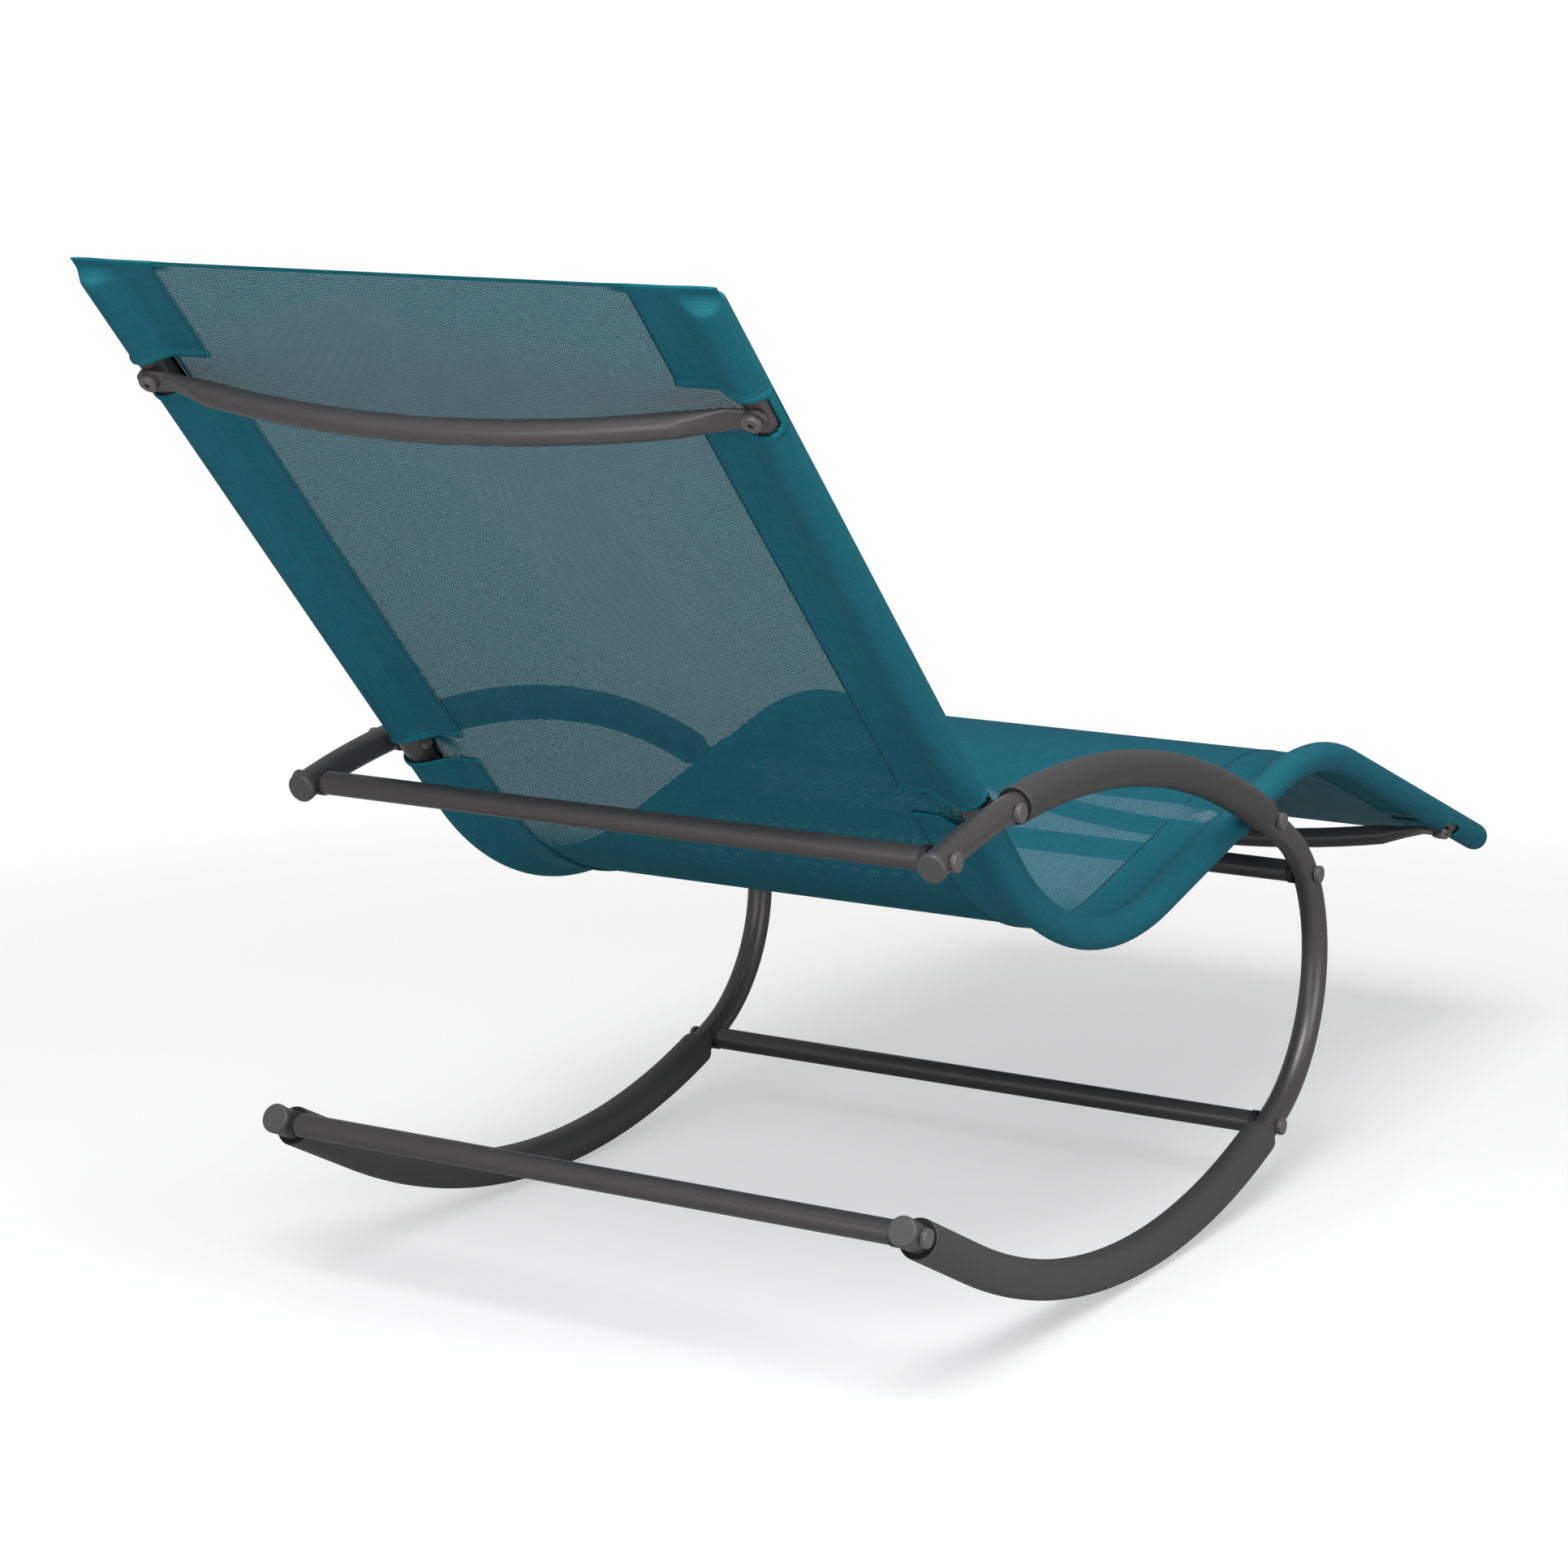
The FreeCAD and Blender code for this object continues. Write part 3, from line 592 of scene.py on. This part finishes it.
def cloth_middle(across, distance):
    """Where a point of the flat cut lies once it is folded round the rails."""
    far = abs(across)
    head = ease(flat_end, flat_end + flat_end_rise, distance + past_head)
    full = head * dome(0, past_foot, rail_length + past_foot - distance)
    half = flat_end_half + (cloth_round_rail - flat_end_half) * full
    reach = half + (flat_end_past_rail - flat_end_half) * (1 - head)
    off_bolt = min(abs(distance - rear_bolt_at), abs(distance - front_bolt_at))
    eased = ease(pressed_less_from, pressed_less_to, off_bolt)
    pressed = hem_pressed_share * (pressed_at_bolt + (1 - pressed_at_bolt) * eased)
    if far <= seam:
        x, rise = far, 0.0
    elif far <= wrap_at:
        t = (far - seam) / hem_width
        x, rise = far, -half * ease(pressed, 1, t)
    elif far <= wrap_at + wrap_length:
        a = (far - seam - hem_width) / wrap_length * math.pi - math.pi / 2
        x, rise = rail_half_width + reach * math.cos(a), half * math.sin(a)
    else:
        t = (cloth_edge - far) / hem_width
        x, rise = seam + hem_width * t, turned_layer + (half - turned_layer) * ease(pressed, 1, t)
    point, heading = on_rail(distance)
    h = math.radians(heading)
    return Vector((math.copysign(x, across), point[0] - rise * math.sin(h),
                   point[1] + rise * math.cos(h)))


def cloth_normal(across, distance):
    """The direction that the cloth's outer face has there: up at the seat, outward at the rails."""
    step = 0.0003
    over = cloth_middle(across + step, distance) - cloth_middle(across - step, distance)
    along = cloth_middle(across, distance + step) - cloth_middle(across, distance - step)
    return along.cross(over).normalized()


def cloth_depth(across, distance):
    """Distances of the cloth's inner and outer faces from its middle: thin as one layer of open
    mesh, thicker in the hem, and thicker still where it is rolled in round the notches."""
    far = abs(across)
    at_rail = ease(seam + hem_width * hem_thick_from, wrap_at, far)
    at_head = 1 - ease(head_thick_to, head_thin_from, distance + past_head)
    at_head *= ease(seam - hem_thick_rise, seam, far)
    inner = mesh_half + (hem_half - mesh_half) * max(at_rail, at_head)
    rolled = 1 - ease(rolled_width - rolled_slope, rolled_width, off_notch(across, distance))
    return inner, inner + rolled_rise * rolled


def notch_outline(side, middle, length, rise, slant, off=0):
    """The notch's edge, or a line off it, as points of the flat cut, from edge to edge."""
    low, high = middle - length / 2 - off, middle + length / 2 + off
    points = [(side * (cloth_edge + past_cut), low - slant)]
    for first, centre_y in ((270, low + notch_corner), (180, high - notch_corner)):
        for k in range(corner_steps + 1):
            a = math.radians(first - 90 / corner_steps * k)
            across = notch_start(rise) - off + notch_corner_across * (1 + math.cos(a))
            points.append((side * across, centre_y + notch_corner * math.sin(a)))
    return points + [(side * (cloth_edge + past_cut), high)]


def off_run(point, first, second):
    """Distance of a point from a straight run between two others."""
    run = second - first
    share = min(max((point - first).dot(run) / run.length_squared, 0), 1)
    return (point - first - run * share).length


def spaced(low, high, step):
    """Evenly spaced values from low up to, but not at, high."""
    count = max(1, round((high - low) / step))
    return [low + (high - low) * k / count for k in range(count)]


# The flat cut, as a grid that is finer over the rails, at the ends and round the notches.
panel_step = 0.019
flat_hem_step = 0.008
curved_hem_step = 0.003
wrap_step = 0.0017
turned_hem_step = 0.006
flat_hem_share = 0.45
end_row_step = 0.0014
row_step = 0.012
notch_row_step = 0.0022
notch_margin = 0.008
foot_turn_step = 9
flat_hem = hem_width * flat_hem_share
half_columns = (spaced(0, seam, panel_step) + spaced(seam, seam + flat_hem, flat_hem_step)
                + spaced(seam + flat_hem, wrap_at, curved_hem_step)
                + spaced(wrap_at, wrap_at + wrap_length, wrap_step)
                + spaced(wrap_at + wrap_length, cloth_edge - flat_hem, curved_hem_step)
                + spaced(cloth_edge - flat_hem, cloth_edge, turned_hem_step) + [cloth_edge])
columns = [-value for value in reversed(half_columns[1:])] + half_columns
reached = flat_end + flat_end_rise - past_head
rows = spaced(-past_head, reached, end_row_step)
for middle, length, rise, slant in notches:
    first = middle - length / 2 - slant - notch_margin
    rows += spaced(reached, first, row_step)
    reached = middle + length / 2 + notch_margin
    rows += spaced(first, reached, notch_row_step)
rows += spaced(reached, rail_length, row_step)
foot_turns = [math.radians(a) for a in range(90, -1, -foot_turn_step)]
rows += [rail_length + past_foot * math.cos(a) for a in foot_turns]

near_run = 0.004
on_run = 0.00002
cut = bmesh.new()
grid = [[cut.verts.new((across, distance, 0)) for across in columns] for distance in rows]
for lower, upper in zip(grid, grid[1:]):
    for k in range(len(columns) - 1):
        cut.faces.new((lower[k], lower[k + 1], upper[k + 1], upper[k]))
for side in (-1, 1):
    for notch in notches:
        outline = [Vector((*point, 0)) for point in notch_outline(side, *notch)]
        runs = list(zip(outline, outline[1:]))
        for first, second in runs:
            near = [f for f in cut.faces
                    if off_run(f.calc_center_median(), first, second) < near_run]
            parts = set(near)
            for f in near:
                parts.update(f.verts)
                parts.update(f.edges)
            across_run = Vector((second.y - first.y, first.x - second.x, 0))
            bmesh.ops.bisect_plane(cut, geom=list(parts), dist=on_run, plane_co=first,
                                   plane_no=across_run)
        inside = []
        for f in cut.faces:
            centre = f.calc_center_median()
            turns = [(second - first).cross(centre - first).z * side for first, second in runs]
            if max(turns) < 0:
                inside.append(f)
        bmesh.ops.delete(cut, geom=inside, context="FACES")
bmesh.ops.remove_doubles(cut, verts=cut.verts, dist=merge_within)
cut.verts.index_update()
cut.verts.ensure_lookup_table()

# The cut is folded into place. Each point gets an outer and an inner face, and each edge is
# closed with a rounded strip.
middles = [cloth_middle(vert.co.x, vert.co.y) for vert in cut.verts]
normals = [cloth_normal(vert.co.x, vert.co.y) for vert in cut.verts]
depths = [cloth_depth(vert.co.x, vert.co.y) for vert in cut.verts]
points = [m + n * outer for m, n, (inner, outer) in zip(middles, normals, depths)]
points += [m - n * inner for m, n, (inner, outer) in zip(middles, normals, depths)]
places = [(vert.co.x, vert.co.y) for vert in cut.verts] * 2
inner_from = len(middles)
faces = []
for face in cut.faces:
    order = [vert.index for vert in face.verts]
    faces.append(tuple(reversed(order)))
    faces.append(tuple(k + inner_from for k in order))
open_edges = [edge for edge in cut.edges if len(edge.link_faces) == 1]
outward = {}
for edge in open_edges:
    away = (edge.verts[0].co + edge.verts[1].co) / 2 - edge.link_faces[0].calc_center_median()
    along = (edge.verts[1].co - edge.verts[0].co).normalized()
    away = (away - along * away.dot(along)).normalized()
    for vert in edge.verts:
        outward[vert.index] = outward.get(vert.index, Vector((0, 0, 0))) + away
edge_step = 0.0003
edge_turns = (60, 90, 120)
strips = {}
for index, away in outward.items():
    x, y = places[index]
    back = away.normalized() * edge_step
    out = (middles[index] - cloth_middle(x - back.x, y - back.y)).normalized()
    inner, outer = depths[index]
    centre = middles[index] + normals[index] * (outer - inner) / 2
    strips[index] = [index]
    for turn in edge_turns:
        a = math.radians(turn)
        strips[index].append(len(points))
        around = normals[index] * math.cos(a) + out * math.sin(a)
        points.append(centre + around * (outer + inner) / 2)
        places.append((x, y))
    strips[index].append(index + inner_from)
for edge in open_edges:
    order = [vert.index for vert in edge.link_faces[0].verts]
    first, second = edge.verts[0].index, edge.verts[1].index
    if order[(order.index(first) + 1) % len(order)] != second:
        first, second = second, first
    one, two = strips[first], strips[second]
    for k in range(len(edge_turns) + 1):
        faces.append((one[k], two[k], two[k + 1], one[k + 1]))
cut.free()

cloth_mesh = bpy.data.meshes.new("sling_cloth")
cloth_mesh.from_pydata([tuple(point) for point in points], [], faces)
cloth_map = cloth_mesh.uv_layers.new(name="cut")
for loop in cloth_mesh.loops:
    cloth_map.data[loop.index].uv = places[loop.vertex_index]
closed_band = 0.0040
highlight_band = 0.0024
open_to = seam + hem_width * 0.85
for face in cloth_mesh.polygons:
    face.use_smooth = True
    far = sum(abs(places[v][0]) for v in face.vertices) / len(face.vertices)
    down = sum(places[v][1] for v in face.vertices) / len(face.vertices)
    inside_ends = closed_band - past_head < down < rail_length + past_foot - closed_band
    face.material_index = 0 if far < open_to and inside_ends else 1
    # The faces along each notch's edge and along the head end get a lighter teal: a painted
    # highlight where the rolled and folded edges catch the light from above.
    if off_notch(far, down) < highlight_band or down < highlight_band - past_head:
        face.material_index = 2
cloth_mesh.validate()
cloth = bpy.data.objects.new("sling_cloth", cloth_mesh)
scene.collection.objects.link(cloth)


weave_pitch = 0.0017
thread_half_share = 0.294
lower_thread = 0.5
crevice_shade_tone = 0.73
crevice_shade_gain = 0.3
tone_drifts = (((520.0, 26.0, 1.0), 0.36), ((26.0, 520.0, 1.0), 0.36), ((60.0, 60.0, 1.0), 0.10))


def weave_group():
    """A plain weave on the cut's own map: 1 in the holes, the threads' height, and their tone:
    painted crevice shade and random drift.
    """
    group = bpy.data.node_groups.new("plain_weave", "ShaderNodeTree")
    for name, value in (("Pitch", weave_pitch), ("Thread", thread_half_share)):
        socket = group.interface.new_socket(name, in_out="INPUT", socket_type="NodeSocketFloat")
        socket.default_value = value
    for name in ("Hole", "Height", "Tone"):
        group.interface.new_socket(name, in_out="OUTPUT", socket_type="NodeSocketFloat")
    given = group.nodes.new("NodeGroupInput")
    result = group.nodes.new("NodeGroupOutput")
    place = group.nodes.new("ShaderNodeUVMap")
    place.uv_map = "cut"
    split = group.nodes.new("ShaderNodeSeparateXYZ")
    group.links.new(place.outputs[0], split.inputs[0])
    cells = []
    rounds = []
    for axis in ("X", "Y"):
        scaled = math_node(group, "DIVIDE", split.outputs[axis], given.outputs["Pitch"])
        cell = math_node(group, "FLOOR", scaled)
        cells.append(cell)
        offset = math_node(group, "SUBTRACT", math_node(group, "SUBTRACT", scaled, cell), 0.5)
        off_thread = math_node(group, "ABSOLUTE", offset)
        share = math_node(group, "DIVIDE", off_thread, given.outputs["Thread"])
        squared = math_node(group, "MULTIPLY", share, share)
        rounds.append(math_node(group, "SUBTRACT", 1.0, squared))
    open_x = math_node(group, "LESS_THAN", rounds[0], 0.0)
    open_y = math_node(group, "LESS_THAN", rounds[1], 0.0)
    group.links.new(math_node(group, "MULTIPLY", open_x, open_y), result.inputs["Hole"])
    odd = math_node(group, "PINGPONG", math_node(group, "ADD", cells[0], cells[1]), 1.0)
    lower = math_node(group, "MULTIPLY", odd, lower_thread)
    raised = math_node(group, "ADD", lower, lower_thread)
    warp = math_node(group, "MULTIPLY", rounds[0], raised)
    weft = math_node(group, "MULTIPLY", rounds[1], math_node(group, "SUBTRACT", 1.0, lower))
    height = math_node(group, "MAXIMUM", math_node(group, "MAXIMUM", warp, weft), 0.0)
    group.links.new(height, result.inputs["Height"])
    # Painted shade: the threads darken toward their lowest parts, the crevices between them. The
    # slow drifts below are random tone.
    tone = math_node(group, "ADD", math_node(group, "MULTIPLY", height, crevice_shade_gain), crevice_shade_tone)
    for stretch, amount in tone_drifts:
        along = group.nodes.new("ShaderNodeVectorMath")
        along.operation = "MULTIPLY"
        along.inputs[1].default_value = stretch
        group.links.new(place.outputs[0], along.inputs[0])
        slub = group.nodes.new("ShaderNodeTexNoise")
        slub.inputs["Scale"].default_value = 1.0
        slub.inputs["Detail"].default_value = 2.0
        group.links.new(along.outputs[0], slub.inputs["Vector"])
        drift = math_node(group, "SUBTRACT", slub.outputs[0], 0.5)
        drift = math_node(group, "MULTIPLY", drift, amount)
        tone = math_node(group, "ADD", tone, drift)
    group.links.new(tone, result.inputs["Tone"])
    return group


plain_weave = weave_group()
weave_bump = 0.5
cloth_gloss = 0.06


def cloth_material(name, colour, see_through, depth, roughness):
    """Coated mesh cloth. With see_through, the holes between its threads are open."""
    made, tree, output = new_material(name)
    weave = tree.nodes.new("ShaderNodeGroup")
    weave.node_tree = plain_weave
    shade = tree.nodes.new("ShaderNodeVectorMath")
    shade.operation = "SCALE"
    shade.inputs[0].default_value = colour
    tree.links.new(weave.outputs["Tone"], shade.inputs["Scale"])
    bump = tree.nodes.new("ShaderNodeBump")
    bump.inputs["Strength"].default_value = weave_bump
    bump.inputs["Distance"].default_value = depth
    tree.links.new(weave.outputs["Height"], bump.inputs["Height"])
    shader = tree.nodes.new("ShaderNodeBsdfPrincipled")
    shader.inputs["Roughness"].default_value = roughness
    shader.inputs["Specular IOR Level"].default_value = cloth_gloss
    tree.links.new(shade.outputs[0], shader.inputs["Base Color"])
    tree.links.new(bump.outputs[0], shader.inputs["Normal"])
    if see_through:
        solid = math_node(tree, "SUBTRACT", 1.0, weave.outputs["Hole"])
        tree.links.new(solid, shader.inputs["Alpha"])
    tree.links.new(shader.outputs[0], output.inputs["Surface"])
    return made


teal = (0.0165, 0.150, 0.200)
# A lighter teal for the cloth's rolled and folded edges: a painted highlight.
highlight_teal = (0.010, 0.165, 0.205)
for name, colour, see_through, depth, roughness in (
        ("mesh_cloth", teal, True, 0.00020, 0.70),
        ("hem_cloth", teal, False, 0.00012, 0.65),
        ("painted_edge_highlight", highlight_teal, False, 0.00012, 0.55)):
    finish = cloth_material(name, colour, see_through, depth, roughness)
    cloth_mesh.materials.append(finish)
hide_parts("sling")
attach(cloth, "root")


# The stitching: one row of thick dark thread along each seam, through both layers of the hem,
# with the same row showing on the seat side. A row of the same dark beads behind the rolled edge
# of each notch is painted shade, standing in for the shaded groove there.
stitch_length = 0.0040
stitch_pitch = 0.0038
stitch_half = 0.00045
stitch_in = 0.0015
shade_row_off_notch = 0.0047
stitch_lift = 0.3
stitch_sides = 6
stitch_rings = ((-0.5, 0.35, 1.0), (-0.3, 1.0, 0), (0.3, 1.0, 0), (0.5, 0.35, 1.0))
row_end = 0.004
clear_of_notch = 0.002
clear_of_edge = 0.003


def add_stitch(across, distance, way, points, faces):
    """One stitch as a short bead that runs one way on the flat cut, its ends sunk in the cloth."""
    normal = cloth_normal(across, distance)
    reach = (way[0] * stitch_length / 2, way[1] * stitch_length / 2)
    ahead = cloth_middle(across + reach[0], distance + reach[1])
    behind = cloth_middle(across - reach[0], distance - reach[1])
    along = (ahead - behind).normalized()
    over = normal.cross(along)
    inner, outer = cloth_depth(across, distance)
    middle = cloth_middle(across, distance) + normal * (outer + stitch_half * stitch_lift)
    start = len(points)
    for share, thick, sink in stitch_rings:
        for k in range(stitch_sides):
            a = math.radians(360 / stitch_sides * k)
            points.append(middle + along * (share * stitch_length) - normal * (sink * stitch_half)
                          + (over * math.cos(a) + normal * math.sin(a)) * (thick * stitch_half))
    last = start + stitch_sides * (len(stitch_rings) - 1)
    for low in range(start, last, stitch_sides):
        high = low + stitch_sides
        for k in range(stitch_sides):
            m = (k + 1) % stitch_sides
            faces.append((low + k, low + m, high + m, high + k))
    faces.append(tuple(start + k for k in reversed(range(stitch_sides))))
    faces.append(tuple(last + k for k in range(stitch_sides)))


points = []
faces = []
stitch_count = int((rail_length + past_head + past_foot - 2 * row_end) / stitch_pitch)
for k in range(stitch_count):
    distance = row_end - past_head + stitch_pitch * (k + 0.5)
    if off_notch(cloth_edge - stitch_in, distance) < clear_of_notch:
        continue
    for side in (-1, 1):
        add_stitch(side * (cloth_edge - stitch_in), distance, (0, 1), points, faces)
        add_stitch(side * (seam + stitch_in), distance, (0, 1), points, faces)
# These beads round each notch are painted shade: dark thread that stands in for the shaded groove
# behind the rolled edge.
for side in (-1, 1):
    for notch in notches:
        outline = notch_outline(side, *notch, off=shade_row_off_notch)
        left = stitch_pitch
        for first, second in zip(outline, outline[1:]):
            run = math.dist(first, second)
            way = ((second[0] - first[0]) / run, (second[1] - first[1]) / run)
            while left < run:
                across, distance = first[0] + way[0] * left, first[1] + way[1] * left
                if abs(across) < cloth_edge - clear_of_edge:
                    add_stitch(across, distance, way, points, faces)
                left += stitch_pitch
            left -= run
stitch_mesh = bpy.data.meshes.new("stitches_and_notch_shade")
stitch_mesh.from_pydata([tuple(point) for point in points], [], faces)
for face in stitch_mesh.polygons:
    face.use_smooth = True
stitches = bpy.data.objects.new("stitches_and_notch_shade", stitch_mesh)
scene.collection.objects.link(stitches)
bpy.ops.object.select_all(action="DESELECT")
stitches.select_set(True)
bpy.context.view_layer.objects.active = stitches
bpy.ops.object.mode_set(mode="EDIT")
bpy.ops.mesh.select_all(action="SELECT")
bpy.ops.mesh.normals_make_consistent(inside=False)
bpy.ops.object.mode_set(mode="OBJECT")
# The dark teal of the seam thread, also used for the painted shade row round the notches.
stitch_and_shade_teal = (0.003, 0.036, 0.052)
thread, _ = grained_material("thread", stitch_and_shade_teal, grain=3000.0, depth=0.00005, mottle=0.2,
                             roughness=0.6)
stitch_mesh.materials.append(thread)
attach(stitches, "root")
